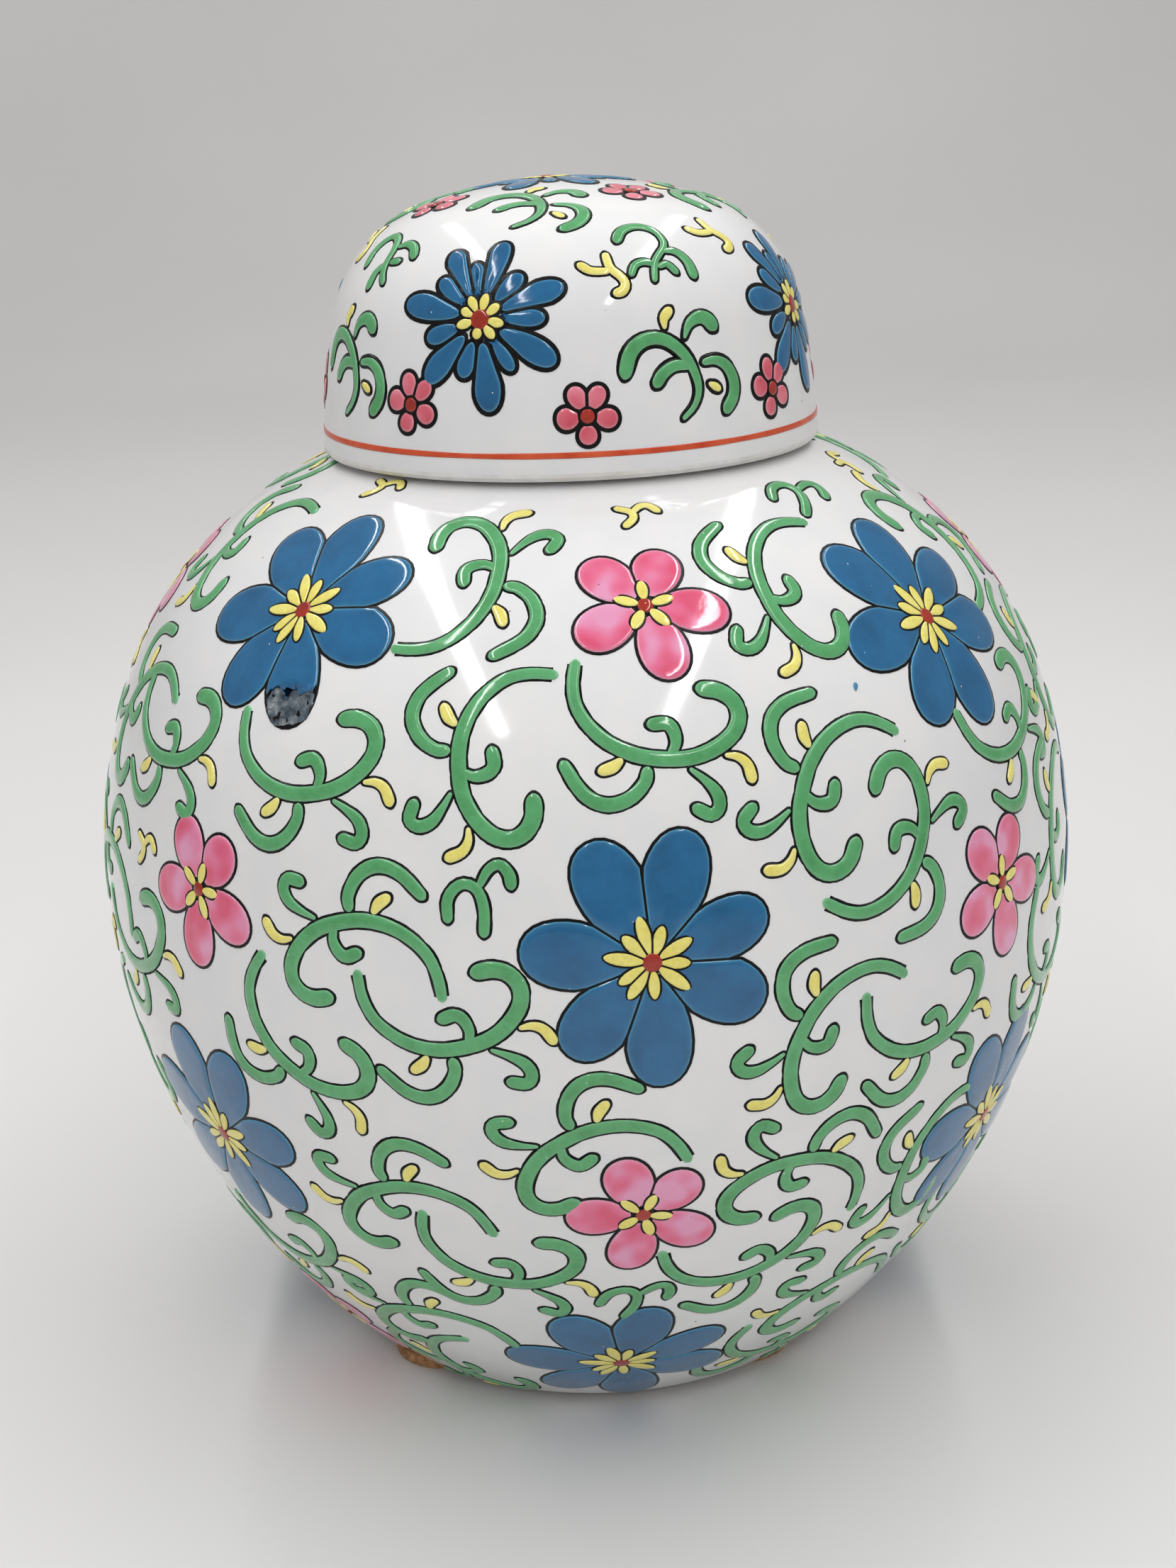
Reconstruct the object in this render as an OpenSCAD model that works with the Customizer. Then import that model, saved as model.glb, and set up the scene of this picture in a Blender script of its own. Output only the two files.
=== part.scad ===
// Ginger jar: a globular porcelain jar with a loose domed cap, standing on four stuck-on cork pads.
// Millimetres, +Z up. The origin is on the jar's axis, at the level of the surface it stands on.

/* [Jar] */
// Largest diameter of the jar
jar_d = 200; // [195:1:206]
// Thickness of the jar's wall and floor
wall = 5; // [4:0.5:6]

/* [Neck] */
// Outside diameter of the neck that the cap goes over
neck_d = 84; // [78:1:85]
// Thickness of the neck's wall
neck_wall = 5; // [4:0.5:6]
// Height of the neck above the ledge that the cap sits on
neck_h = 15.5; // [10:0.5:18]

/* [Foot] */
// Width of the foot ring's flat lower face
foot_ring_w = 7; // [6:0.5:10]
// Depth of the hollow inside the foot ring
foot_hollow = 5; // [3:0.5:7]

/* [Cap] */
// Thickness of the cap's wall
cap_wall = 4; // [3:0.5:4.5]
// Height of the bare band round the cap's rim
cap_rim_h = 1.5; // [1:0.5:3]

/* [Cork pads] */
// Diameter of a cork pad
pad_d = 22; // [18:1:24]
// Thickness of a cork pad
pad_t = 2.5; // [2:0.1:3]

/* [Hidden] */

// An outline is a chain of tangent arcs, each [radius, angle it turns through]. A chain leaves its
// starting point at right angles to its first radius and bends towards the jar's axis.
SHOULDER_ARCS = [[113, 17], [77.5, 54.5]];       // from the widest level up to the ledge
FLANK_ARCS = [[122, 11], [145, 36.5]];           // from the widest level down to the foot
CROWN_ARCS = [[93, 17], [27.5, 61.5], [200, 7.1]]; // from the cap's top down to its bare rim
ARC_STEP = 2.8;                                  // turn between two points of an outline

// The pads were stuck on by hand: [direction round the axis from +X, how far the pad's outer edge
// stands out past the foot ring]
PADS = [[-141, 1.2], [-46, -1.4], [46, 0.2], [134, -0.5]];

CAP_AIR = 0.3;      // air between the ledge and the cap's rim
LIP_R = 1.5;        // rounding of the neck's lip
RIM_CHAMFER = 0.8;  // on both edges of the cap's rim
FOOT_EDGE_R = 0.8;  // rounding of the foot ring's edges
FLOOR_FILLET = 8;   // where the wall meets the floor, inside

function dir(a) = [cos(a), sin(a)];
function mirrored(points) = [for (p = points) [p.x, -p.y]];
function reversed(points) = [for (i = [len(points) - 1:-1:0]) points[i]];
function moved(points, by) = [for (p = points) p + by];
function arc(centre, r, a0, a1) =
    let (n = max(2, ceil(abs(a1 - a0) / ARC_STEP)))
    [for (k = [0:n]) centre + r * dir(a0 + (a1 - a0) * k / n)];

// A chain that starts at [0, 0] heading along +Y, with its first centre on the -X side
function turned(arcs, i) = i == 0 ? 0 : turned(arcs, i - 1) + arcs[i - 1][1];
function centre(arcs, i) =
    i == 0 ? [-arcs[0][0], 0]
           : centre(arcs, i - 1) + (arcs[i - 1][0] - arcs[i][0]) * dir(turned(arcs, i));
function arc_of(arcs, i, inset, last) =
    arc(centre(arcs, i), arcs[i][0] - inset, turned(arcs, i), min(last, turned(arcs, i + 1)));
function chain(arcs, inset = 0, last = 360) =
    [for (i = [0:len(arcs) - 1]) each [for (p = arc_of(arcs, i, inset, last)) p]];
function chain_end(arcs) =
    centre(arcs, len(arcs) - 1) + arcs[len(arcs) - 1][0] * dir(turned(arcs, len(arcs)));

jar_r = jar_d / 2;
belly_z = pad_t + chain_end(FLANK_ARCS).y;
belly = [jar_r, belly_z];
foot_r = jar_r + chain_end(FLANK_ARCS).x;
ledge = belly + chain_end(SHOULDER_ARCS);        // outer edge of the ledge under the cap
neck_r = neck_d / 2;
mouth_r = neck_r - neck_wall;
neck_top = ledge.y + neck_h;
floor_z = pad_t + foot_hollow + wall;

cap_rim_r = chain_end(CROWN_ARCS).y;
cap_rim_z = ledge.y + CAP_AIR;
cap_top = cap_rim_z + cap_rim_h - chain_end(CROWN_ARCS).x;

// The cavity's wall ends where it meets the mouth, above, and the floor's fillet, below.
shoulder_centre = belly + centre(SHOULDER_ARCS, 1);
mouth_turn = acos((mouth_r - shoulder_centre.x) / (SHOULDER_ARCS[1][0] - wall));
flank_centre = belly - [-centre(FLANK_ARCS, 1).x, centre(FLANK_ARCS, 1).y];
fillet_reach = FLANK_ARCS[1][0] - wall - FLOOR_FILLET;
fillet_turn = asin((flank_centre.y - floor_z - FLOOR_FILLET) / fillet_reach);
fillet_centre = flank_centre + fillet_reach * dir(-fillet_turn);

function shoulder(inset, last = 360) = moved(chain(SHOULDER_ARCS, inset, last), belly);
function flank(inset, last = 360) = moved(mirrored(chain(FLANK_ARCS, inset, last)), belly);
function crown(inset) = [for (p = chain(CROWN_ARCS, inset)) [p.y, cap_top + p.x]];

// Every arc chain repeats the point where two arcs meet, so an outline is thinned before use.
function thinned(points) =
    [for (i = [0:len(points) - 1]) if (i == 0 || norm(points[i] - points[i - 1]) > 0.01) points[i]];

jar_outside = concat(reversed(flank(0)), shoulder(0));
neck_outline = concat(
    [[neck_r, ledge.y]],
    arc([neck_r - LIP_R, neck_top - LIP_R], LIP_R, 0, 90),
    arc([mouth_r + LIP_R, neck_top - LIP_R], LIP_R, 90, 180));
jar_inside = concat(
    reversed(shoulder(wall, mouth_turn)),
    flank(wall, fillet_turn),
    arc(fillet_centre, FLOOR_FILLET, -fillet_turn, -90),
    [[0, floor_z]]);
foot_outline = concat(
    [[0, pad_t + foot_hollow]],
    [[foot_r - foot_ring_w, pad_t + foot_hollow]],
    arc([foot_r - foot_ring_w + FOOT_EDGE_R, pad_t + FOOT_EDGE_R], FOOT_EDGE_R, 180, 270),
    [[foot_r, pad_t]]);
jar_outline = thinned(concat(foot_outline, jar_outside, neck_outline, jar_inside));

cap_outline = thinned(concat(
    crown(0),
    [[cap_rim_r, cap_rim_z + RIM_CHAMFER],
     [cap_rim_r - RIM_CHAMFER, cap_rim_z],
     [cap_rim_r - cap_wall + RIM_CHAMFER, cap_rim_z],
     [cap_rim_r - cap_wall, cap_rim_z + RIM_CHAMFER]],
    reversed(crown(cap_wall))));

module jar() {
    color("ghostwhite") rotate_extrude($fn = 180) polygon(jar_outline);
}

module cap() {
    color("white") rotate_extrude($fn = 180) polygon(cap_outline);
}

module pad(i) {
    color("peru")
        translate((foot_r + PADS[i][1] - pad_d / 2) * [cos(PADS[i][0]), sin(PADS[i][0]), 0])
            cylinder(d = pad_d, h = pad_t, $fn = 60);
}

jar();
cap();
pad(0);  // pad_front_left
pad(1);  // pad_front_right
pad(2);  // pad_back_right
pad(3);  // pad_back_left
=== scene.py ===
from math import acos, asin, atan2, cos, degrees, hypot, pi, radians, sin

import bpy
from mathutils import Matrix, Vector, noise


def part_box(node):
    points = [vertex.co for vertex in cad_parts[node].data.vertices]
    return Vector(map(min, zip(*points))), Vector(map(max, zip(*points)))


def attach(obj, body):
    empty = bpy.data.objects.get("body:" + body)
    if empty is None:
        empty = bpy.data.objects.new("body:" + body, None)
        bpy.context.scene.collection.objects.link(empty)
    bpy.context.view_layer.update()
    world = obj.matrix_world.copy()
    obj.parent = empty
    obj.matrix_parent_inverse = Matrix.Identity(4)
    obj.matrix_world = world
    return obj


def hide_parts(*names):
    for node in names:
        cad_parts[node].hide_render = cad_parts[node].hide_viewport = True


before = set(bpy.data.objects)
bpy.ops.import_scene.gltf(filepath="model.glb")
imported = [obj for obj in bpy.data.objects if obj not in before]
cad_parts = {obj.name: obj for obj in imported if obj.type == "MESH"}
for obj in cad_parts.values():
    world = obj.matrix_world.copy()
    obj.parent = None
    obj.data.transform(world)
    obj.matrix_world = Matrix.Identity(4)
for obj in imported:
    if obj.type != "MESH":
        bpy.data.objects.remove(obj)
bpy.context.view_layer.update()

# The jar is designed in millimetres. Blender's unit is the metre.
MM = 0.001

# ------------------------------------------------------------------ the outline
# A chain of tangent arcs, each (radius, degrees it turns through), as in the part's own source.
PAD_T = 2.5
BELLY_R = 100.0
SHOULDER_ARCS = [(113.0, 17.0), (77.5, 54.5)]
FLANK_ARCS = [(122.0, 11.0), (145.0, 36.5)]
CROWN_ARCS = [(93.0, 17.0), (27.5, 61.5), (200.0, 7.1)]
JAR_WALL = 5.0
NECK_R = 42.0
MOUTH_R = 37.0
NECK_H = 15.5
LIP_R = 1.5
FOOT_RING_W = 7.0
FOOT_HOLLOW = 5.0
FOOT_EDGE_R = 0.8
FLOOR_FILLET = 8.0
CAP_WALL = 4.0
CAP_AIR = 0.3
CAP_RIM_H = 1.5
RIM_CHAMFER = 0.8

LATHE_STEPS = 240      # steps round the axis
ARC_STEP = 2.4         # degrees between two points of an outline


def clamped(value, low, high):
    return max(low, min(high, value))


def toward(angle):
    return Vector((cos(radians(angle)), sin(radians(angle))))


def arc_chain(start, heading, arcs, way):
    """Arcs as (centre, radius, first angle, last angle) in the (radius, height) plane.
    heading is the outward direction at the start; way is 1 if it climbs and -1 if it falls."""
    found = []
    centre = Vector(start) - arcs[0][0] * toward(heading)
    for i, (radius, turn) in enumerate(arcs):
        if i:
            centre = centre + (arcs[i - 1][0] - radius) * toward(heading)
        found.append((centre, radius, heading, heading + way * turn))
        heading += way * turn
    return found


def chain_end(chain):
    centre, radius, _, last = chain[-1]
    return centre + radius * toward(last)


BELLY_Z = PAD_T - chain_end(arc_chain((BELLY_R, 0), 0, FLANK_ARCS, -1)).y
SHOULDER = arc_chain((BELLY_R, BELLY_Z), 0, SHOULDER_ARCS, 1)
FLANK = arc_chain((BELLY_R, BELLY_Z), 0, FLANK_ARCS, -1)
LEDGE = chain_end(SHOULDER)
FOOT_R = chain_end(FLANK).x
NECK_TOP = LEDGE.y + NECK_H
FLOOR_Z = PAD_T + FOOT_HOLLOW + JAR_WALL
RIM_Z = LEDGE.y + CAP_AIR
CAP_TOP = RIM_Z + CAP_RIM_H - chain_end(arc_chain((0, 0), 90, CROWN_ARCS, -1)).y
CROWN = arc_chain((0, CAP_TOP), 90, CROWN_ARCS, -1)
CAP_RIM_R = chain_end(CROWN).x
GLAZE = {"jar": FLANK + SHOULDER, "cap": CROWN}

# ------------------------------------------------------------------ editing a piece
def select_only(piece):
    if bpy.context.object and bpy.context.object.mode != "OBJECT":
        bpy.ops.object.mode_set(mode="OBJECT")
    bpy.ops.object.select_all(action="DESELECT")
    if piece:
        piece.select_set(True)
        bpy.context.view_layer.objects.active = piece


def edit(piece, mode="FACE"):
    """Starts to edit a piece, with all of it selected."""
    select_only(piece)
    bpy.ops.object.mode_set(mode="EDIT")
    bpy.ops.mesh.select_mode(type=mode)
    bpy.ops.mesh.select_all(action="SELECT")


def done():
    bpy.ops.object.mode_set(mode="OBJECT")
    return bpy.context.object


def pick(piece, kind, test):
    """While a piece is edited, selects only those of its edges or faces that pass a test."""
    bpy.ops.mesh.select_all(action="DESELECT")
    bpy.ops.object.mode_set(mode="OBJECT")
    for part in getattr(piece.data, kind):
        part.select = test(part)
    bpy.ops.object.mode_set(mode="EDIT")


# ------------------------------------------------------------------ camera, floor and light
CAMERA_AT = (0.0, -0.4564, 0.2625)
CAMERA_YAW = 0.097
CAMERA_PITCH = 17.80   # down
CAMERA_ROLL = -2.13
CAMERA_LENS = 52.08    # for 36 mm along the long side of the frame


def add_camera():
    yaw, pitch, roll = radians(CAMERA_YAW), radians(CAMERA_PITCH), radians(CAMERA_ROLL)
    ahead = Vector((sin(yaw) * cos(pitch), cos(yaw) * cos(pitch), -sin(pitch)))
    level = Vector((cos(yaw), -sin(yaw), 0))
    above = level.cross(ahead)
    right = level * cos(roll) + above * sin(roll)
    up = above * cos(roll) - level * sin(roll)
    bpy.ops.object.camera_add()
    camera = bpy.context.object
    camera.name = "camera"
    camera.data.lens = CAMERA_LENS
    camera.data.clip_start = 0.02
    facing = Matrix((right, up, -ahead)).transposed().to_4x4()
    camera.matrix_world = Matrix.Translation(CAMERA_AT) @ facing
    bpy.context.scene.camera = camera


BAR_Y, BAR_Z = -0.10, 0.92
BAR_LENGTH, BAR_WIDTH = 1.6, 0.05
AIM_Z = 0.12           # the height on the jar's axis that the lamps face


def add_bar_light(name, x, watts):
    """A long lamp overhead that runs from front to back and faces the jar's axis."""
    bpy.ops.object.light_add(type="AREA", location=(x, BAR_Y, BAR_Z))
    lamp = bpy.context.object
    lamp.name = name
    lamp.data.shape = "RECTANGLE"
    lamp.data.size, lamp.data.size_y = BAR_WIDTH, BAR_LENGTH
    lamp.data.energy = watts
    lamp.rotation_euler = (0, atan2(x, BAR_Z - AIM_Z), 0)


def add_soft_light(name, at, target, size, watts):
    """A round lamp that lights the scene but doesn't show as a reflection."""
    bpy.ops.object.light_add(type="AREA", location=at)
    lamp = bpy.context.object
    lamp.name = name
    lamp.data.shape = "DISK"
    lamp.data.size = size
    lamp.data.energy = watts
    lamp.visible_glossy = False
    lamp.rotation_euler = (Vector(target) - Vector(at)).to_track_quat("-Z", "Y").to_euler()


FLOOR_HALF = 8.0       # half the width of the floor
WALL_Y, WALL_H = 2.6, 3.0
SWEEP_R = 1.2          # the curve from the floor up into the wall
NEAR = 0.01            # how close to a level still counts as on it


def add_backdrop(material):
    """A pale floor that curves up into a plain wall far behind the jar."""
    select_only(None)
    bpy.ops.mesh.primitive_plane_add(size=2 * FLOOR_HALF, location=(0, WALL_Y - FLOOR_HALF, 0))
    floor = bpy.context.object
    floor.name = "floor"

    def ends(line):
        return [floor.data.vertices[i].co for i in line.vertices]

    edit(floor, "EDGE")
    pick(floor, "edges", lambda line: all(p.y > FLOOR_HALF - NEAR for p in ends(line)))
    bpy.ops.mesh.extrude_region_move(TRANSFORM_OT_translate={"value": (0, 0, WALL_H)})
    pick(floor, "edges", lambda line: all(p.y > FLOOR_HALF - NEAR and p.z < NEAR for p in ends(line)))
    bpy.ops.mesh.bevel(offset=SWEEP_R, segments=24, affect="EDGES")
    floor = done()
    bpy.ops.object.shade_smooth()
    bpy.ops.object.transform_apply(location=True)
    floor.data.materials.append(material)


SKY_COLOUR = (1.0, 0.985, 0.98)
SKY_STRENGTH = 0.37


def light_studio():
    world = bpy.data.worlds.new("studio")
    bpy.context.scene.world = world
    world.use_nodes = True
    sky = world.node_tree.nodes["Background"]
    sky.inputs["Color"].default_value = (*SKY_COLOUR, 1)
    sky.inputs["Strength"].default_value = SKY_STRENGTH
    add_bar_light("bar_left", -0.35, 4.2)
    add_bar_light("bar_right", 0.36, 3.9)
    add_soft_light("front_fill", (0.25, -1.5, 1.15), (0, 0, AIM_Z), 0.9, 5.0)
    add_soft_light("backdrop_wash", (0, 0.9, 2.4), (0, WALL_Y, 0.4), 1.2, 15.0)
    view = bpy.context.scene.view_settings
    view.view_transform = "Standard"
    view.look = "None"


# ------------------------------------------------------------------ materials
BLACK, WHITE = (0, 0, 0), (1, 1, 1)


def grey(value):
    return (value, value, value)


def new_material(name, roughness, **sockets):
    material = bpy.data.materials.new(name)
    material.use_nodes = True
    shader = material.node_tree.nodes["Principled BSDF"]
    shader.inputs["Roughness"].default_value = roughness
    for socket, value in sockets.items():
        shader.inputs[socket.replace("_", " ")].default_value = value
    return material, material.node_tree, shader


def node(tree, kind, **settings):
    made = tree.nodes.new(kind)
    for key, value in settings.items():
        if hasattr(made, key):
            setattr(made, key, value)
        else:
            made.inputs[key.replace("_", " ").capitalize()].default_value = value
    return made


def place(tree):
    return node(tree, "ShaderNodeTexCoord").outputs["Object"]


def cloud(tree, where, size_mm, detail=2.0, rough=0.5):
    """Soft noise whose patches are about size_mm across."""
    made = node(tree, "ShaderNodeTexNoise", Scale=1.0 / (size_mm * MM), Detail=detail,
                Roughness=rough)
    tree.links.new(where, made.inputs["Vector"])
    return made.outputs["Fac"]


def ramp(tree, value, stops):
    """A colour ramp. stops are (position, (red, green, blue))."""
    made = node(tree, "ShaderNodeValToRGB")
    band = made.color_ramp
    while len(band.elements) < len(stops):
        band.elements.new(0.5)
    for element, (position, colour) in zip(band.elements, stops):
        element.position = position
        element.color = (*colour, 1)
    tree.links.new(value, made.inputs["Fac"])
    return made.outputs["Color"]


def mixed(tree, share, first, second, blend="MIX"):
    """Mixes two colours. Each is a socket or (red, green, blue)."""
    made = node(tree, "ShaderNodeMix", data_type="RGBA", blend_type=blend)
    for value, socket in ((share, 0), (first, 6), (second, 7)):
        if isinstance(value, bpy.types.NodeSocket):
            tree.links.new(value, made.inputs[socket])
        elif socket:
            made.inputs[socket].default_value = (*value, 1)
        else:
            made.inputs[socket].default_value = value
    return made.outputs[2]


def spots(tree, where, spacing_mm, size):
    """1 on sparse small round spots, and 0 between them. size is a share of the spacing."""
    cells = node(tree, "ShaderNodeTexVoronoi", Scale=1.0 / (spacing_mm * MM), Randomness=1.0)
    tree.links.new(where, cells.inputs["Vector"])
    stops = [(0.0, WHITE), (size, WHITE), (size * 1.5, BLACK)]
    return ramp(tree, cells.outputs["Distance"], stops)


def bumped(tree, shader, height, strength, depth_mm):
    made = node(tree, "ShaderNodeBump", Strength=strength, Distance=depth_mm * MM)
    tree.links.new(height, made.inputs["Height"])
    tree.links.new(made.outputs["Normal"], shader.inputs["Normal"])


def glazed_porcelain():
    material, tree, shader = new_material("glazed_porcelain", 0.07, Coat_Weight=0.35,
                                          Coat_Roughness=0.04)
    where = place(tree)
    body = ramp(tree, cloud(tree, where, 70, 3),
                [(0.3, (0.77, 0.765, 0.775)), (0.7, (0.825, 0.82, 0.815))])
    body = mixed(tree, 0.35, body, ramp(tree, cloud(tree, where, 9, 4), [
        (0.35, (0.76, 0.765, 0.775)), (0.65, (0.84, 0.835, 0.825))]))
    pits = spots(tree, where, 13, 0.013)
    body = mixed(tree, pits, body, (0.25, 0.22, 0.19))
    tree.links.new(body, shader.inputs["Base Color"])
    dulled = ramp(tree, cloud(tree, where, 16, 3), [(0.3, grey(0.06)), (0.7, grey(0.11))])
    tree.links.new(dulled, shader.inputs["Roughness"])
    bumped(tree, shader, cloud(tree, where, 7, 2, 0.4), 0.25, 0.10)
    return material


def bare_biscuit():
    material, tree, shader = new_material("bare_biscuit", 0.62)
    where = place(tree)
    body = ramp(tree, cloud(tree, where, 3, 5),
                [(0.3, (0.66, 0.645, 0.62)), (0.7, (0.78, 0.77, 0.75))])
    stains = ramp(tree, cloud(tree, where, 14, 3), [(0.55, BLACK), (0.80, grey(0.35))])
    body = mixed(tree, stains, body, (0.56, 0.50, 0.42))
    tree.links.new(body, shader.inputs["Base Color"])
    bumped(tree, shader, cloud(tree, where, 0.5, 4), 0.6, 0.06)
    return material


def enamel_depth(tree):
    """How deep the enamel is, which every enamel shape notes in its own attribute."""
    return node(tree, "ShaderNodeAttribute", attribute_name="depth").outputs["Fac"]


def enamel(name, deep, full, thin, speck=(0.9, 0.92, 0.95), patch_mm=5.0, roughness=0.10):
    """Glassy enamel: thin and paler at its edge, deep where it pooled, with a few bubbles."""
    material, tree, shader = new_material(name, roughness, Coat_Weight=0.25, Coat_Roughness=0.05)
    where = place(tree)
    depth = enamel_depth(tree)
    pooled = ramp(tree, cloud(tree, where, patch_mm, 3), [(0.25, deep), (0.60, full)])
    flow = ramp(tree, cloud(tree, where, patch_mm / 6, 3), [(0.3, grey(0.93)), (0.7, grey(1.04))])
    pooled = mixed(tree, 1.0, pooled, flow, "MULTIPLY")
    thinness = ramp(tree, depth, [(0.25, grey(0.9)), (0.6, grey(0.45)), (0.85, grey(0.1)),
                                  (1.0, BLACK)])
    colour = mixed(tree, thinness, pooled, thin)
    colour = mixed(tree, spots(tree, where, 4.5, 0.022), colour, speck)
    tree.links.new(colour, shader.inputs["Base Color"])
    dulled = ramp(tree, cloud(tree, where, 3, 3),
                  [(0.3, grey(roughness * 0.7)), (0.7, grey(roughness * 1.5))])
    tree.links.new(dulled, shader.inputs["Roughness"])
    bumped(tree, shader, cloud(tree, where, 1.6, 3), 0.35, 0.07)
    return material


def pink_enamel(name, pale, middle, deep, thin):
    """Pink that fades to a pale lilac towards the petals' edges and in broad patches."""
    material, tree, shader = new_material(name, 0.10, Coat_Weight=0.5, Coat_Roughness=0.05)
    where = place(tree)
    depth = enamel_depth(tree)
    colour = ramp(tree, cloud(tree, where, 7, 1), [(0.36, pale), (0.50, middle), (0.66, deep)])
    thinness = ramp(tree, depth, [(0.25, grey(0.9)), (0.7, grey(0.35)), (1.0, BLACK)])
    colour = mixed(tree, thinness, colour, thin)
    colour = mixed(tree, spots(tree, where, 6, 0.02), colour, (0.25, 0.05, 0.10))
    tree.links.new(colour, shader.inputs["Base Color"])
    bumped(tree, shader, cloud(tree, where, 1.8, 3), 0.35, 0.07)
    return material


def chipped_ceramic():
    """The dull broken surface where a flake of enamel and glaze has come away."""
    material, tree, shader = new_material("chipped_ceramic", 0.75)
    where = place(tree)
    broken = ramp(tree, cloud(tree, where, 2.2, 5, 0.65), [
        (0.34, (0.012, 0.02, 0.03)), (0.48, (0.075, 0.10, 0.125)),
        (0.60, (0.17, 0.20, 0.22)), (0.76, (0.46, 0.48, 0.48))])
    tree.links.new(broken, shader.inputs["Base Color"])
    bumped(tree, shader, cloud(tree, where, 0.7, 5, 0.7), 0.9, 0.25)
    return material


def black_outline():
    material, tree, shader = new_material("black_outline", 0.34, Specular_IOR_Level=0.2)
    where = place(tree)
    line = ramp(tree, cloud(tree, where, 1.2, 4),
                [(0.3, (0.002, 0.002, 0.003)), (0.7, (0.008, 0.007, 0.007))])
    tree.links.new(line, shader.inputs["Base Color"])
    bumped(tree, shader, cloud(tree, where, 0.4, 3), 0.5, 0.03)
    return material


def orange_band():
    material, tree, shader = new_material("orange_band", 0.22)
    where = place(tree)
    line = ramp(tree, cloud(tree, where, 4, 4),
                [(0.3, (0.56, 0.055, 0.015)), (0.7, (0.70, 0.11, 0.035))])
    tree.links.new(line, shader.inputs["Base Color"])
    bumped(tree, shader, cloud(tree, where, 0.7, 3), 0.4, 0.03)
    return material


def cork():
    material, tree, shader = new_material("cork", 0.85)
    where = place(tree)
    grains = node(tree, "ShaderNodeTexVoronoi", Scale=1.0 / (1.5 * MM), Randomness=1.0)
    tree.links.new(where, grains.inputs["Vector"])
    grain = ramp(tree, grains.outputs["Color"], [
        (0.15, (0.34, 0.15, 0.055)), (0.5, (0.52, 0.25, 0.10)), (0.85, (0.66, 0.37, 0.17))])
    seams = ramp(tree, grains.outputs["Distance"], [(0.35, BLACK), (0.75, grey(0.8))])
    grain = mixed(tree, seams, grain, (0.17, 0.075, 0.03))
    grain = mixed(tree, 0.4, grain, ramp(tree, cloud(tree, where, 0.5, 4), [
        (0.3, (0.30, 0.14, 0.05)), (0.7, (0.70, 0.42, 0.20))]))
    tree.links.new(grain, shader.inputs["Base Color"])
    bumped(tree, shader, grains.outputs["Distance"], 0.7, -0.25)
    return material


def floor_paper():
    material, tree, shader = new_material("floor_paper", 0.55)
    where = place(tree)
    paper = ramp(tree, cloud(tree, where, 400, 2),
                 [(0.3, (0.73, 0.725, 0.72)), (0.7, (0.77, 0.765, 0.76))])
    tree.links.new(paper, shader.inputs["Base Color"])
    return material


# ------------------------------------------------------------------ lathed porcelain
def start_outline(name, at):
    """One point in the plane of the outline, which the next steps draw on from."""
    select_only(None)
    bpy.ops.mesh.primitive_plane_add(size=MM)
    piece = bpy.context.object
    piece.name = piece.data.name = name
    edit(piece, "VERT")
    bpy.ops.mesh.merge(type="CENTER")
    bpy.ops.transform.translate(value=(at[0] * MM, 0, at[1] * MM))
    return piece


def line_by(across, up):
    bpy.ops.mesh.extrude_region_move(TRANSFORM_OT_translate={"value": (across * MM, 0, up * MM)})


def arc_about(centre, turn):
    """Draws on round a centre. A positive turn goes from outwards to upwards."""
    steps = max(2, round(abs(turn) / ARC_STEP))
    bpy.ops.mesh.spin(steps=steps, angle=radians(abs(turn)), axis=(0, 1 if turn > 0 else -1, 0),
                      center=(centre[0] * MM, 0, centre[1] * MM))


def lathe(piece):
    bpy.ops.mesh.select_all(action="SELECT")
    bpy.ops.mesh.spin(steps=LATHE_STEPS, angle=2 * pi, center=(0, 0, 0), axis=(0, 0, 1))
    bpy.ops.mesh.select_all(action="SELECT")
    bpy.ops.mesh.remove_doubles(threshold=0.02 * MM)
    bpy.ops.mesh.normals_make_consistent(inside=False)
    done()
    bpy.ops.object.shade_smooth_by_angle(angle=radians(38))
    return piece


def bare_where(piece, glazed, bare, test):
    """Gives the faces that pass the test the bare finish, and the others the glaze."""
    piece.data.materials.append(glazed)
    piece.data.materials.append(bare)
    for face in piece.data.polygons:
        r, z = hypot(face.center.x, face.center.y) / MM, face.center.z / MM
        face.material_index = 1 if test(r, z, face.normal.z) else 0


BARE_FOOT_H = 0.9      # height of the bare part of the foot ring
BARE_RIM_H = 2.6       # height of the bare part of the cap's rim
SLACK = 0.1            # how far past an edge a face may lie and still be bare


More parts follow.
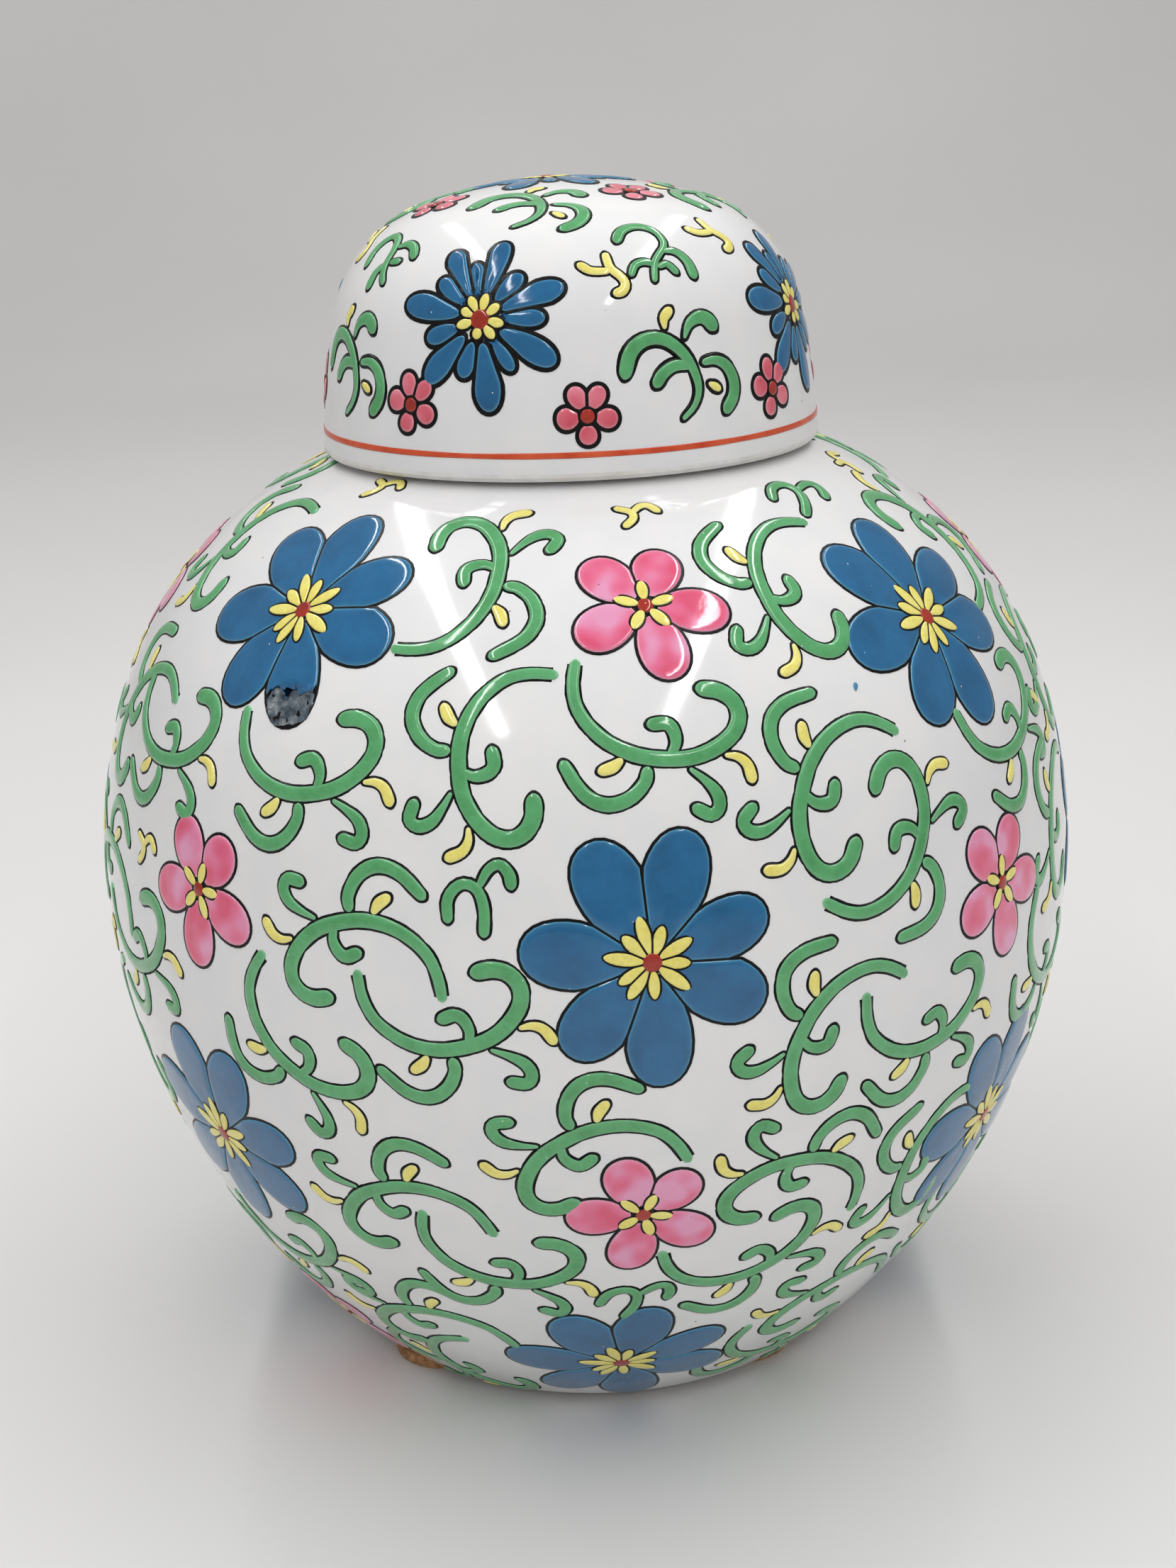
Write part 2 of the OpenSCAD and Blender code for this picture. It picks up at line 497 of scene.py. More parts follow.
def make_jar(glazed, bare):
    foot_in = FOOT_R - FOOT_RING_W
    jar = start_outline("jar_porcelain", (0, PAD_T + FOOT_HOLLOW))
    line_by(foot_in, 0)
    line_by(0, FOOT_EDGE_R - FOOT_HOLLOW)
    arc_about((foot_in + FOOT_EDGE_R, PAD_T + FOOT_EDGE_R), 90)
    line_by(FOOT_RING_W - FOOT_EDGE_R, 0)
    for centre, _, first, last in reversed(FLANK):
        arc_about(centre, first - last)
    for centre, _, first, last in SHOULDER:
        arc_about(centre, last - first)
    line_by(NECK_R - LEDGE.x, 0)
    line_by(0, NECK_H - LIP_R)
    arc_about((NECK_R - LIP_R, NECK_TOP - LIP_R), 90)
    line_by(MOUTH_R - NECK_R + 2 * LIP_R, 0)
    arc_about((MOUTH_R + LIP_R, NECK_TOP - LIP_R), 90)
    top_centre, top_radius = SHOULDER[1][0], SHOULDER[1][1] - JAR_WALL
    mouth_turn = degrees(acos((MOUTH_R - top_centre.x) / top_radius))
    line_by(0, top_centre.y + top_radius * sin(radians(mouth_turn)) - (NECK_TOP - LIP_R))
    arc_about(top_centre, SHOULDER[1][2] - mouth_turn)
    arc_about(SHOULDER[0][0], -SHOULDER[0][3])
    arc_about(FLANK[0][0], FLANK[0][3])
    low_centre = FLANK[1][0]
    reach = FLANK[1][1] - JAR_WALL - FLOOR_FILLET
    floor_turn = degrees(asin((low_centre.y - FLOOR_Z - FLOOR_FILLET) / reach))
    arc_about(low_centre, -floor_turn - FLANK[1][2])
    arc_about(low_centre + reach * toward(-floor_turn), floor_turn - 90)
    line_by(-(low_centre.x + reach * cos(radians(floor_turn))), 0)
    lathe(jar)

    def on_foot_or_seat(r, z, up):
        foot = z < PAD_T + BARE_FOOT_H and foot_in < r < FOOT_R + SLACK
        ledge_or_lip = z > LEDGE.y - 0.3 and up > 0.4 and r > MOUTH_R - SLACK
        return foot or ledge_or_lip

    bare_where(jar, glazed, bare, on_foot_or_seat)
    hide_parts("jar")
    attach(jar, "jar")
    return jar


def make_cap(glazed, bare):
    cap = start_outline("cap_porcelain", (0, CAP_TOP))
    for centre, _, first, last in CROWN:
        arc_about(centre, last - first)
    wall_in = CAP_RIM_R - CAP_WALL
    line_by(0, RIM_Z + RIM_CHAMFER - chain_end(CROWN).y)
    line_by(-RIM_CHAMFER, -RIM_CHAMFER)
    line_by(2 * RIM_CHAMFER - CAP_WALL, 0)
    line_by(-RIM_CHAMFER, RIM_CHAMFER)
    centre, radius, first, last = CROWN[-1]
    inner_end = centre + (radius - CAP_WALL) * toward(last)
    line_by(inner_end.x - wall_in, inner_end.y - RIM_Z - RIM_CHAMFER)
    for centre, _, first, last in reversed(CROWN):
        arc_about(centre, first - last)
    lathe(cap)
    bare_where(cap, glazed, bare, lambda r, z, up: z < RIM_Z + BARE_RIM_H and r > wall_in - 0.5)
    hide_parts("cap")
    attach(cap, "cap")
    return cap


# ------------------------------------------------------------------ laying a flat pattern on the glaze
def glaze_at(body, azimuth, height):
    """A point of the glaze, and the directions to the right and up along it, in millimetres.
    azimuth is in degrees from the front, positive to the right."""
    for centre, radius, first, last in GLAZE[body]:
        slope = degrees(asin(clamped((height - centre.y) / radius, -1, 1)))
        if min(first, last) - 1e-6 <= slope <= max(first, last) + 1e-6:
            break
    a = radians(azimuth)
    out, right = Vector((sin(a), -cos(a), 0)), Vector((cos(a), sin(a), 0))
    point = centre + radius * toward(slope)
    up = -sin(radians(slope)) * out + Vector((0, 0, cos(radians(slope))))
    return out * point.x + Vector((0, 0, point.y)), right, up


def onto_glaze(body, point, lift):
    """The place on the glaze nearest to a point, lifted straight off it."""
    r = hypot(point.x, point.y)
    out = Vector((point.x / r, point.y / r, 0)) if r > 1e-9 else Vector((0, -1, 0))
    best = None
    for centre, radius, first, last in GLAZE[body]:
        slope = degrees(atan2(point.z - centre.y, r - centre.x))
        held = clamped(slope, min(first, last), max(first, last))
        if best is None or abs(slope - held) < best[0]:
            best = (abs(slope - held), centre, radius, held)
    _, centre, radius, slope = best
    flat = centre + (radius + lift) * toward(slope)
    return out * flat.x + Vector((0, 0, flat.y))


def lay(pattern, name, body, azimuth, height, turn, shift=(0, 0)):
    """Copies a flat pattern onto the glaze: turned anticlockwise, then moved right and up by shift."""
    piece = pattern.copy()
    piece.data = pattern.data.copy()
    piece.name = piece.data.name = name
    bpy.context.scene.collection.objects.link(piece)
    origin, right, up = glaze_at(body, azimuth, height)
    c, s = cos(radians(turn)), sin(radians(turn))
    for v in piece.data.vertices:
        x, y, lift = v.co
        point = origin + right * (x * c - y * s + shift[0]) + up * (x * s + y * c + shift[1])
        v.co = onto_glaze(body, point, lift) * MM
    piece.hide_render = False
    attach(piece, body)
    return piece


# ------------------------------------------------------------------ enamel shapes, flat, in millimetres
ENAMEL_H = 0.34      # how far full enamel stands off the glaze
LINE_H = 0.10        # the printed line
LINE_W = 0.55        # width of the line round each shape
SUNK = 0.05          # how far each shape reaches into the glaze below it

# How a layer is raised: the height of its upright wall, then its insets, each (in, up).
PETAL = (0.12, [(0.18, 0.12), (0.30, 0.07), (0.6, 0.03), (0.7, 0.01)])
NARROW_PETAL = (0.12, [(0.16, 0.12), (0.28, 0.08), (0.3, 0.04)])
PETAL_LINE = (LINE_H - 0.03, [(0.12, 0.03), (2.2, 0.0)])
STAMEN = (0.27, [(0.12, 0.08), (0.2, 0.04)])
STAMEN_LINE = (0.22, [(0.1, 0.02)])
DISC = (0.32, [(0.25, 0.11), (0.5, 0.06)])
DISC_LINE = (0.24, [(0.1, 0.03)])
SCAR = (0.16, [(0.5, 0.0), (0.7, -0.03), (0.8, 0.0), (0.8, 0.03)])
SPECK = (0.12, [(0.15, 0.08)])

NARROW = 5.0           # petals less wide than this are raised as narrow ones
STAMEN_GAP = 0.36      # between two stamens
BREAK_TILT = 8         # degrees between a break and the square across its petal
ROUND_END = [(0.75, 0.72), (1.0, 0.2)]  # (how far past a stroke's end, how thick), in radii
OPEN_PAST = 0.06       # how far a printed line runs on at a stroke's open start


def eased(t):
    """From 0 to 1 with a soft start and a soft end."""
    return t * t * (3 - 2 * t)


def note_depth(piece):
    """Notes how deep the enamel is at each point, from 0 at its edge to 1 where it is full."""
    depth = piece.data.attributes.new("depth", "FLOAT", "POINT")
    for v, value in zip(piece.data.vertices, depth.data):
        value.value = clamped(v.co.z / ENAMEL_H, 0.0, 1.0)


def puffed(piece, material, layer):
    """Raises a flat shape to a closed one, with an upright wall and then insets."""
    wall, insets = layer
    edit(piece)
    bpy.ops.mesh.extrude_region_move(TRANSFORM_OT_translate={"value": (0, 0, wall + SUNK)})
    for inwards, upwards in insets:
        bpy.ops.mesh.inset(thickness=inwards, depth=upwards)
    bpy.ops.mesh.poke()
    bpy.ops.mesh.select_all(action="SELECT")
    bpy.ops.mesh.normals_make_consistent(inside=False)
    done()
    for v in piece.data.vertices:
        v.co.z -= SUNK
    piece.data.materials.clear()
    piece.data.materials.append(material)
    note_depth(piece)
    return piece


def egg(start, end, width, angle, fullness, spread=0.0, sides=28, power=1.0):
    """A flat egg that points outwards at an angle, from radius start to radius end, fuller outside.
    A power under 1 fills out its sides, and one over 1 brings its ends to a point."""
    select_only(None)
    bpy.ops.mesh.primitive_circle_add(vertices=sides, radius=1, fill_type="NGON")
    piece = bpy.context.object
    half_length, half_width = (end - start) / 2 + spread, width / 2 + spread
    middle = (end + start) / 2
    c, s = cos(radians(angle)), sin(radians(angle))
    for v in piece.data.vertices:
        along = middle + v.co.x * half_length
        side = 1 if v.co.y > 0 else -1
        across = side * abs(v.co.y) ** power * half_width * (1 + fullness * v.co.x)
        across /= 1 + fullness * fullness / 2
        v.co = (along * c - across * s, along * s + across * c, 0)
    return piece


def disc(radius):
    select_only(None)
    bpy.ops.mesh.primitive_circle_add(vertices=20, radius=radius, fill_type="NGON")
    return bpy.context.object


def stroke_radii(points, widths, spread):
    """The radius at each point of a stroke, from its widths at its start, middle and end."""
    lengths = [0.0]
    for a, b in zip(points, points[1:]):
        lengths.append(lengths[-1] + (b - a).length)
    radii = []
    for reached in lengths:
        t = 2 * reached / lengths[-1]
        low, high = (widths[0], widths[1]) if t < 1 else (widths[1], widths[2])
        radii.append((low + (high - low) * eased(t if t < 1 else t - 1)) / 2 + spread)
    return radii


def round_end(tip, onwards, radius):
    """The knots past a stroke's last point that close it with a round end."""
    return [(tip + onwards * radius * reach, radius * share) for reach, share in ROUND_END]


def bead(line, widths, material, spread=0.0, open_start=False):
    """A brush stroke: a round-ended tube along a line, flattened onto the glaze.
    With a spread it is the printed line under a stroke, which reaches out by that much all round."""
    printed = spread > 0
    height = LINE_H if printed else ENAMEL_H
    points = [Vector((*p, 0)) for p in line]
    radii = stroke_radii(points, widths, spread)
    back, ahead = (points[0] - points[1]).normalized(), (points[-1] - points[-2]).normalized()
    if open_start:
        points[0] += back * OPEN_PAST
        start = []
    else:
        start = round_end(points[0], back, radii[0])[::-1]
    knots = start + list(zip(points, radii)) + round_end(points[-1], ahead, radii[-1])
    select_only(None)
    bpy.ops.curve.primitive_nurbs_path_add(radius=1)
    curve = bpy.context.object.data
    curve.dimensions = "3D"
    curve.bevel_depth = 1.0
    curve.bevel_resolution = 1 if printed else 4
    curve.use_fill_caps = True
    curve.resolution_u = 3
    curve.splines.clear()
    spline = curve.splines.new("NURBS")
    spline.points.add(len(knots) - 1)
    for point, (at, radius) in zip(spline.points, knots):
        point.co = (*at, 1)
        point.radius = radius
    spline.order_u = 3
    spline.use_endpoint_u = True
    bpy.ops.object.convert(target="MESH")
    piece = bpy.context.object
    typical = sum(widths) / 6 + spread
    for v in piece.data.vertices:
        t = v.co.z / typical
        if t <= 0.02:
            v.co.z = -SUNK
        elif printed:
            v.co.z = height * min(1, t * 3)
        else:
            v.co.z = height * min(1.04, t ** 0.5)
    piece.data.materials.clear()
    piece.data.materials.append(material)
    edit(piece)
    bpy.ops.mesh.remove_doubles(threshold=0.003)
    bpy.ops.mesh.normals_make_consistent(inside=False)
    done()
    note_depth(piece)
    return piece


def joined(name, parts):
    """Joins flat shapes into one pattern, which isn't rendered itself."""
    select_only(parts[0])
    for part in parts:
        part.select_set(True)
    bpy.ops.object.join()
    pattern = bpy.context.object
    pattern.name = name
    bpy.ops.object.shade_smooth()
    pattern.hide_render = True
    return pattern


def between_neighbours(petal, angle, others, gap):
    """Pulls in a flat petal to end half a gap short of the line midway to each neighbour."""
    for way in (1, -1):
        to_next = min((way * (other - angle)) % 360 for other in others if other != angle)
        along = toward(angle + way * to_next / 2)
        inwards = Vector((along.y, -along.x)) * way
        for v in petal.data.vertices:
            clear = v.co.x * inwards.x + v.co.y * inwards.y - gap / 2
            if clear < 0:
                v.co.x -= clear * inwards.x
                v.co.y -= clear * inwards.y
    return petal


def chipped_off(petal, angle, reach, width, tip, rough):
    """Ends a petal at a break, and fills the place where its enamel flaked off with a rough hollow."""
    cut, across = toward(angle) * reach, toward(angle - BREAK_TILT)
    edit(petal)
    bpy.ops.mesh.bisect(plane_co=(*cut, 0), plane_no=(*across, 0), clear_outer=True, use_fill=True)
    done()
    for v in petal.data.vertices:
        if abs((v.co.xy - cut).dot(across)) < 0.01:
            ragged = 2.2 * noise.noise(Vector((v.co.x, v.co.y, 5)) * 0.9) - 0.4
            v.co.xy += across * ragged
    scar = egg(reach - 2.2, tip - 0.3, width * 0.92, angle, -0.05, power=0.6)
    scar = puffed(scar, rough, SCAR)
    edit(scar)
    bpy.ops.mesh.subdivide(number_cuts=2)
    done()
    for v in scar.data.vertices:
        ragged = noise.noise_vector(Vector((v.co.x, v.co.y, 3)) * 0.9)
        if v.co.z > 0:
            v.co.z += 0.16 * noise.noise(Vector((v.co.x, v.co.y, 0)) * 1.1)
        v.co.x += 0.5 * ragged.x
        v.co.y += 0.5 * ragged.y
    return scar


def flower(name, paints, petals, petal_start, fullness, stamens, disc_r, calm, line=LINE_W,
           narrow=False, power=0.94, chip=None):
    """Petals (angle, tip, width) round stamens (angle, length, width) round a disc.
    calm is (where the petals lie low under the stamens, where they have their full height).
    chip is (which petal, where its break is, the rough finish of the break)."""
    parts = []
    petal_paint, stamen_paint, disc_paint, outline = paints
    angles = [angle for angle, _, _ in petals]
    for i, (angle, tip, width) in enumerate(petals):
        shape = egg(petal_start, tip, width, angle, fullness, line, power=power)
        parts.append(puffed(between_neighbours(shape, angle, angles, -line), outline, PETAL_LINE))
        shape = egg(petal_start, tip, width, angle, fullness, power=power)
        petal = puffed(between_neighbours(shape, angle, angles, 0.8 * line), petal_paint,
                       NARROW_PETAL if narrow or width < NARROW else PETAL)
        for v in petal.data.vertices:
            if v.co.z > 0:
                t = clamped((hypot(v.co.x, v.co.y) - calm[0]) / (calm[1] - calm[0]), 0.0, 1.0)
                v.co.z = max(LINE_H + 0.03, v.co.z * (0.5 + 0.5 * eased(t)))
        if chip and chip[0] == i:
            parts.append(chipped_off(petal, angle, chip[1], width, tip, chip[2]))
        parts.append(petal)
    angles = [angle for angle, _, _ in stamens]
    for angle, length, width in stamens:
        shape = egg(disc_r, length, width, angle, 0.05, line * 0.6, 18, 1.15)
        parts.append(puffed(shape, outline, STAMEN_LINE))
        shape = egg(disc_r * 0.8, length, width * 0.94, angle, 0.05, 0, 18, 1.1)
        parts.append(puffed(between_neighbours(shape, angle, angles, STAMEN_GAP), stamen_paint, STAMEN))
    parts.append(puffed(disc(disc_r + line * 0.7), outline, DISC_LINE))
    parts.append(puffed(disc(disc_r), disc_paint, DISC))
    return joined(name, parts)


def sprigged(name, strokes, outline, line_width=LINE_W):
    """A pattern of brush strokes, each (line, widths, paint, whether its start is left open)."""
    parts = [bead(line, widths, outline, line_width, open_start)
             for line, widths, _, open_start in strokes]
    parts += [bead(line, widths, paint) for line, widths, paint, _ in strokes]
    return joined(name, parts)


# The petals and strokes of each pattern, in millimetres from its middle.
BLUE_PETALS = [(72, 23.8, 11.5), (20, 22.0, 10.5), (-26, 22.0, 11.8), (-87, 23.5, 11.5),
               (-133, 22.4, 11.5), (172, 23.1, 12.0), (116, 23.7, 12.0)]
BLUE_STAMENS = [(104, 8.5, 2.4), (72, 6.6, 2.3), (28, 7.9, 2.4), (-5, 6.6, 2.2), (-40, 8.2, 2.4),
                (-88, 6.6, 2.1), (-125, 7.6, 2.3), (-150, 6.8, 2.2), (170, 8.5, 2.4), (135, 7.0, 2.4)]
PINK_PETALS = [(66, 12.9, 8.7), (-9, 15.0, 8.7), (-78, 14.9, 8.8), (-155, 14.0, 8.8), (132, 14.0, 8.8)]
PINK_STAMENS = [(90, 5.2, 2.1), (15, 5.4, 2.0), (-50, 5.6, 2.2), (-122, 5.3, 2.2), (160, 5.6, 2.0)]
CAP_PETALS = [(26, 17.0, 4.7), (-27, 16.6, 4.6), (-82, 16.8, 5.2), (-135, 16.0, 4.6), (167, 17.2, 5.0),
              (118, 17.0, 4.5), (82, 17.6, 4.2)]
CAP_SHORT_PETALS = [(52, 11.4, 3.3), (3, 12.2, 3.2), (-54, 11.2, 2.5), (-108, 11.0, 3.3),
                    (-162, 11.6, 3.3), (139, 12.2, 3.3), (101, 11.6, 2.6)]
CAP_STAMENS = [(80, 4.8, 1.9), (38, 4.4, 1.9), (-10, 4.6, 1.9), (-50, 4.4, 1.9), (-100, 3.6, 1.9),
               (-165, 4.7, 1.9), (120, 4.8, 1.9), (155, 4.2, 1.9)]
SMALL_PETALS = [(117, 5.9, 3.3), (62, 5.9, 3.2), (-8, 5.6, 3.6), (-90, 5.1, 3.3), (-175, 5.6, 3.9)]

SCROLL_STEM = [(-14, 5.5), (-13.5, 2), (-12, -1.5), (-9.5, -4), (-6, -6), (-2, -7), (2, -7), (6, -6),
               (10, -4.5), (13.5, -1.5), (15.8, 2), (16, 5.5), (14, 8), (11, 8.7), (8.5, 8)]
SCROLL_HOOK = [(6.2, -4.8), (6.6, -3), (5.6, -0.9), (4, 0.1), (1.9, -0.9)]
SCROLL_LONG = [(3.2, -9.4), (3.5, -11), (2, -14.5), (-1, -16.8), (-4, -17), (-7, -15.8), (-10.5, -12.5)]
SCROLL_SHORT = [(10.4, -6.5), (13, -7.3), (16, -8.7), (17.4, -11), (16.5, -13.2), (13.7, -12.7)]
SCROLL_BUD = [(-1.9, -9.0), (-2.6, -10.2), (-4, -11.2)]
SCROLL_TIP = [(15.7, -2.0), (17.5, -1.5), (19.7, -2.1), (21.1, -4.2)]

SPRIG_LEFT = [(-6, -5.3), (-6.2, -1.8), (-3.6, 0.9), (-0.6, 0), (0.6, -3.6), (0.4, -7.6)]
SPRIG_RIGHT = [(-0.2, 0.6), (1.2, 3.4), (3.3, 4.3), (4.9, 2.4), (5.1, 0.8)]

SQUIGGLE_LOW = [(-3.4, 2.1), (-1.0, 0.9), (-1.1, -1.0), (-2.8, -2.6)]
SQUIGGLE_HIGH = [(-0.8, 1.0), (0.6, 2.5), (2.2, 2.6), (3.4, 1.0)]

CAP_STEM = [(-2.4, -7.8), (0, -6), (1.3, -3), (0.5, 0.5), (-1.5, 4), (-5, 6.8), (-9, 7), (-12, 5),
            (-13.2, 1.6)]
CAP_INNER = [(-0.6, 1.4), (-3.5, 1.8), (-6, 0.5), (-7.1, -0.9)]
CAP_RIGHT = [(3, 1.7), (5.4, 2.0), (8, 0.8), (9.5, -2), (9.1, -5), (7.3, -6.9)]
CAP_UPPER = [(-0.7, 6.6), (0.3, 8.9), (2.8, 10), (4.6, 9.4), (5.4, 8.4)]
CAP_BUD = [(-4.6, 8.8), (-4.6, 10.3), (-3.5, 11.3)]
CAP_SEED = [(3.8, -2.4), (4.6, -2.8), (5.3, -3.2)]

CAP_SPRIG = [[(-7.5, 1.2), (-7.8, 4), (-6, 7), (-3.5, 8), (-1, 6.5), (0, 4), (0, 1), (1, -1.5),
              (2.0, -2.6)],
             [(1.2, 5.2), (3, 6.1), (5.5, 5.5), (6.9, 3.8)],
             [(1.9, 1.5), (3.6, 1.8)],
             [(-0.5, 0.3), (-2, -0.8), (-2.3, -3.5)]]
CAP_SPRIG_WIDTHS = [(2.2, 1.8, 1.5), (1.3, 2.0, 2.2), (1.3, 1.4, 1.5), (1.3, 1.9, 2.1)]
CAP_SPLIT = [[(-9.8, 6.1), (-8.5, 7.9), (-6, 8.8), (-3.5, 8.3), (-1.5, 6.5), (-1, 4), (-1.6, 2.4),
              (-3.2, 1.1), (-5, -0.6), (-6, -3.8)],
             [(-10, -1.9), (-9, -0.4), (-7.2, 0.1), (-5.6, -0.6)],
             [(-4, -1.4), (-2.5, -1), (-1.4, -2.8)],
             [(-2, 1.7), (0.3, 1.4), (2, -0.9), (2.2, -3.6)]]
CAP_SPLIT_WIDTHS = [(2.2, 1.4, 1.3), (1.5, 1.5, 1.4), (1.2, 1.3, 1.5), (1.2, 1.7, 2.2)]
CAP_Y_LEFT = [(-4.2, 1.4), (-2.8, 0.1), (0, 0)]
CAP_Y_RIGHT = [(0.5, 3.1), (0.8, 0.4), (2.6, -1.0), (3.5, -2.6), (2.8, -4.0), (1.8, -4.3)]


def make_patterns(paint):
    green, yellow, black = paint["green"], paint["yellow"], paint["black"]

    def paints_with(petals):
        return paint[petals], yellow, paint["red"], black

    def closed(lines, widths, colour):
        return [(line, stroke, colour, False) for line, stroke in zip(lines, widths)]

    blue = (paints_with("blue"), BLUE_PETALS, 2.6, 0.16, BLUE_STAMENS, 1.7, (6.0, 10.0))
    scroll = [(SCROLL_STEM, (2.2, 2.8, 3.1), green, True)]
    scroll += closed([SCROLL_HOOK, SCROLL_LONG, SCROLL_SHORT],
                     [(1.6, 2.4, 2.5), (2.3, 2.7, 2.4), (0.9, 2.4, 2.5)], green)
    scroll += closed([SCROLL_BUD, SCROLL_TIP], [(1.6, 2.4, 2.1), (1.0, 2.0, 2.3)], yellow)
    cap_scroll = closed([CAP_STEM, CAP_INNER, CAP_RIGHT, CAP_UPPER],
                        [(1.0, 2.2, 3.0), (1.8, 2.2, 2.4), (1.4, 2.6, 2.6), (0.8, 2.4, 3.0)], green)
    cap_scroll += closed([CAP_BUD, CAP_SEED], [(1.1, 2.0, 2.1), (1.1, 1.7, 1.5)], yellow)
    sprig = closed([SPRIG_LEFT, SPRIG_RIGHT], [(2.1, 1.9, 2.1), (1.4, 1.9, 2.2)], green)
    squiggle = closed([SQUIGGLE_LOW, SQUIGGLE_HIGH], [(1.6, 1.6, 1.7), (1.3, 1.6, 1.8)], yellow)
    cap_sprig = closed(CAP_SPRIG, CAP_SPRIG_WIDTHS, green)
    cap_split = closed(CAP_SPLIT, CAP_SPLIT_WIDTHS, green)
    cap_y = closed([CAP_Y_LEFT, CAP_Y_RIGHT], [(1.8, 1.6, 1.5), (1.7, 1.7, 2.0)], yellow)
    speck = puffed(egg(-0.9, 0.7, 1.0, 70, 0.3, sides=14), paint["blue"], SPECK)
    return {
        "blue": flower("pattern_blue", *blue),
        "chipped_blue": flower("pattern_chipped", *blue, chip=(3, 16.8, paint["chipped"])),
        "pink": flower("pattern_pink", paints_with("pink"), PINK_PETALS, 2.2, 0.12, PINK_STAMENS,
                       1.4, (3.5, 7.0), power=1.0),
        "cap_blue": flower("pattern_cap_blue", paints_with("blue"), CAP_PETALS + CAP_SHORT_PETALS,
                           4.3, 0.3, CAP_STAMENS, 1.8, (3.5, 7.0), 0.85, True, 1.0),
        "small": flower("pattern_small", paints_with("salmon"), SMALL_PETALS, 1.5, 0.1, [], 1.3,
                        (0.5, 2.0), 0.75, True, 1.0),
        "scroll": sprigged("pattern_scroll", scroll, black),
        "sprig": sprigged("pattern_sprig", sprig, black),
        "speck": joined("pattern_speck", [speck]),
        "squiggle": sprigged("pattern_squiggle", squiggle, black),
        "cap_scroll": sprigged("pattern_cap_scroll", cap_scroll, black, 0.7),
        "cap_sprig": sprigged("pattern_cap_sprig", cap_sprig, black, 0.6),
        "cap_split": sprigged("pattern_cap_split", cap_split, black, 0.6),
        "cap_y": sprigged("pattern_cap_y", cap_y, black, 0.6),
    }


# Where each pattern lies: (degrees from the front, height, turn).
BLUE_FLOWERS = [(-40, 169.5, 16), (50.5, 162.5, 10), (6, 115.5, 0), (-49, 68.5, -10), (55, 62, 2),
                (2.5, 19.5, 4), (86.5, 109.5, -25), (90.5, 20.5, 8)]
PINK_FLOWERS = [(9, 171.5, 0), (-45.5, 121, -14), (50, 114.5, -4), (4.7, 64.5, -24),
                (-52.5, 16.5, -30), (91, 166, -9), (95, 58, 3)]
SCROLLS = [(-16, 106.5, 0), (-33.5, 148, -3), (-57.5, 147.5, -7), (7, 155.5, -22), (56.5, 143, 5),
           (-62, 105, 6), (36.5, 95.5, -6), (-13.5, 53.5, -20), (16.5, 50.5, 10),
           (28.5, 141.5, -132), (-65, 177, -110), (32, 173.5, -109), (-9, 152, -102),
           (-66, 146.5, -136), (26, 98.5, -132), (43.5, 62, -106), (69.5, 118.5, -122),
           (78, 148, -122), (-23, 115, -179), (-69.5, 112, -188), (0.5, 77.5, -163),
           (-21.5, 62.5, -170), (24, 64.5, -198), (38, 28, -173), (-25, 28, -172),
           (-17.5, 174.5, 78), (68, 171, 94), (32.5, 128, 47), (-32.5, 98.5, -45), (63, 95, -39),
           (-47, 44, 5), (-25, 14, -84), (30, 16.5, -26), (58.5, 41, -8), (84.5, 187.5, 104),
           (110, 80, -75), (81.5, 60.5, -104), (111, 42, -51)]
SPRIGS = [(-10.7, 129, 0), (4.8, 43, -25), (47.8, 184, -44), (92.5, 135, 214), (84.5, 147.5, 96),
          (94.5, 77.5, -56), (79.5, 82.5, -85), (81, 37, -40)]
SQUIGGLES = [(-44, 187, 0), (11.7, 184, 0), (-57, 123.5, 0), (75, 185, 25), (96.5, 152, 103),
             (107, 98, 27), (90, 37.5, 201)]

CAP_FLOWERS = [(-20, 218, 0), (68.6, 216, 0), (159, 217, 8), (249, 217, -6)]
CAP_SMALL = [(-37, 202.6, -16), (3.6, 200.8, 0), (51.5, 202, -18), (94, 202, 6), (142, 202, -10),
             (183, 201, 0), (232, 202.5, 12), (273, 203, -5), (-65.5, 236.3, 10), (39, 237.8, -30),
             (125, 237, 0), (215, 237, 20)]
CAP_SCROLLS = [(28, 207, 0), (-58, 207.5, 3), (118, 207, 0), (208, 207, 2), (-9.5, 236.2, -8.5),
               (83, 235.6, 7), (172, 236, 0), (262, 236, 4)]
CAP_SPRIGS = [(-55, 226, 0), (125, 226, 0)]
CAP_SPLITS = [(30, 227, 0), (212, 227, 0)]
CAP_YS = [(10, 225.5, 0), (46, 230.5, 0), (-79, 230, 0), (100, 226, 0), (138, 230, 0),
          (190, 225.5, 0)]


# Each row: pattern, name of its pieces, places, slot. The jar's rows are laid in front and behind.
JAR_ROWS = [("blue", "blue_flower", BLUE_FLOWERS, "blue_enamel"),
            ("pink", "pink_flower", PINK_FLOWERS, "pink_enamel"),
            ("scroll", "scroll", SCROLLS, "green_enamel"),
            ("sprig", "sprig", SPRIGS, "green_enamel"),
            ("squiggle", "squiggle", SQUIGGLES, "yellow_enamel")]
CAP_ROWS = [("cap_blue", "blue_flower", CAP_FLOWERS, "blue_enamel"),
            ("small", "pink_flower", CAP_SMALL, "pink_enamel"),
            ("cap_scroll", "scroll", CAP_SCROLLS, "green_enamel"),
            ("cap_sprig", "sprig", CAP_SPRIGS, "green_enamel"),
            ("cap_split", "split_sprig", CAP_SPLITS, "green_enamel"),
            ("cap_y", "squiggle", CAP_YS, "yellow_enamel")]
CHIPPED = "jar_front_blue_flower_1"


